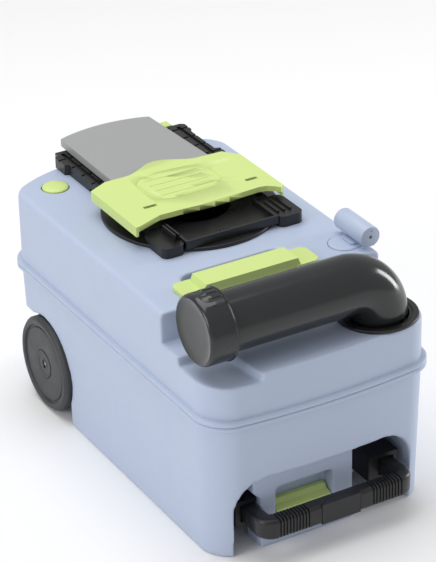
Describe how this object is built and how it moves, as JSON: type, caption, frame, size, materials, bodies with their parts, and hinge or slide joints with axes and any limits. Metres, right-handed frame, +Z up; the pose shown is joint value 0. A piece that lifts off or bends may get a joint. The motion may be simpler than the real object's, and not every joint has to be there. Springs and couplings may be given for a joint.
{
  "type": "portable camp toilet waste tank",
  "caption": "Wheeled holding tank of a camp toilet: two-part shell, sliding inlet cover over a turning valve blade, swivelling pour-out spout with cup cap, vent and pull handle.",
  "frame": {"origin": "on the ground, under the middle of the overall box", "axes": "+Z up, the pull-handle end faces -Y, the rollers are at the +Y end, the spout lies along -X"},
  "size_m": [0.251, 0.4843, 0.274],
  "materials": {
    "blue_plastic": "fine-grained blue-grey polypropylene",
    "lime_plastic": "lime green, satin",
    "black_plastic": "black, satin",
    "dark_gloss_plastic": "dark grey, glossy",
    "grey_plastic": "mid grey, satin",
    "wheel_plastic": "charcoal, satin",
    "seal_rubber": "black, dull",
    "steel": "plain stainless",
    "white_plastic": "natural white, satin"
  },
  "bodies": {
    "tank": {"lower_shell": "blue_plastic", "upper_shell": "blue_plastic", "mechanism_collar": "black_plastic", "inlet_lip_seal": "seal_rubber", "mechanism_housing": "black_plastic", "left_shoe": "black_plastic", "right_shoe": "black_plastic", "left_rail": "black_plastic", "right_rail": "black_plastic", "guard_plate": "grey_plastic", "guard_clip": "lime_plastic", "spout_ring": "black_plastic", "spout_seal": "seal_rubber", "carrying_grip": "lime_plastic", "button_sleeve": "white_plastic", "button_spring": "steel", "left_axle": "steel", "right_axle": "steel", "left_handle_guide": "black_plastic", "right_handle_guide": "black_plastic", "lock_pocket_insert": "lime_plastic", "float_bracket": "white_plastic", "float_pin": "steel", "vent_plug_seal": "seal_rubber"},
    "cover": {"sliding_cover": "lime_plastic"},
    "valve": {"valve_blade": "black_plastic", "valve_shaft": "black_plastic"},
    "spout": {"spout_elbow": "dark_gloss_plastic"},
    "cap": {"spout_cap": "dark_gloss_plastic", "cap_washer": "seal_rubber"},
    "vent": {"vent_plug": "blue_plastic", "vent_saddle": "blue_plastic", "vent_barrel": "blue_plastic"},
    "button": {"vent_button": "lime_plastic", "button_stem": "white_plastic", "button_valve_washer": "seal_rubber"},
    "left_roller": {"left_wheel": "wheel_plastic", "left_hub_cap": "wheel_plastic", "left_hub_bush": "white_plastic"},
    "right_roller": {"right_wheel": "wheel_plastic", "right_hub_cap": "wheel_plastic", "right_hub_bush": "white_plastic"},
    "handle": {"pull_handle": "black_plastic", "catch_spring": "steel"},
    "catch": {"handle_catch": "black_plastic"},
    "gauge_float": {"float_arm": "white_plastic", "float": "white_plastic"}
  },
  "joints": [
    {"name": "cover_slide", "type": "slide", "parent": "tank", "child": "cover", "axis": [0, 1, 0], "range_m": [0, 0.094]},
    {"name": "valve_turn", "type": "hinge", "parent": "tank", "child": "valve", "pos_m": [-0.0605, 0.0556, 0.207], "axis": [0, 0, 1], "range_deg": [0, 85]},
    {"name": "spout_swing", "type": "hinge", "parent": "tank", "child": "spout", "pos_m": [0.0805, -0.1745, 0.2], "axis": [0, 0, 1], "range_deg": [0, 180]},
    {"name": "cap_unscrew", "type": "slide", "parent": "spout", "child": "cap", "axis": [-1, 0, 0], "range_m": [0, 0.045]},
    {"name": "vent_plug_turn", "type": "hinge", "parent": "tank", "child": "vent", "pos_m": [0.1, -0.087, 0.2292], "axis": [0, 0, 1], "range_deg": [0, 90]},
    {"name": "vent_button_press", "type": "slide", "parent": "tank", "child": "button", "axis": [0, 0, -1], "range_m": [0, 0.003], "stiffness_N_per_m": 700, "springref_m": -0.001, "deforming": ["button_spring"]},
    {"name": "left_roller_spin", "type": "hinge", "parent": "tank", "child": "left_roller", "pos_m": [-0.1155, 0.1393, 0.0512], "axis": [1, 0, 0], "continuous": true},
    {"name": "right_roller_spin", "type": "hinge", "parent": "tank", "child": "right_roller", "pos_m": [0.1155, 0.1393, 0.0512], "axis": [1, 0, 0], "continuous": true},
    {"name": "handle_pull", "type": "slide", "parent": "tank", "child": "handle", "axis": [0, -1, 0], "range_m": [0, 0.2]},
    {"name": "catch_press", "type": "slide", "parent": "handle", "child": "catch", "axis": [0, 0, -1], "range_m": [0, 0.004], "stiffness_N_per_m": 500, "springref_m": -0.001, "deforming": ["catch_spring"]},
    {"name": "float_swing", "type": "hinge", "parent": "tank", "child": "gauge_float", "pos_m": [0.097, -0.021, 0.203], "axis": [1, 0, 0], "range_deg": [0, 55]}
  ]
}
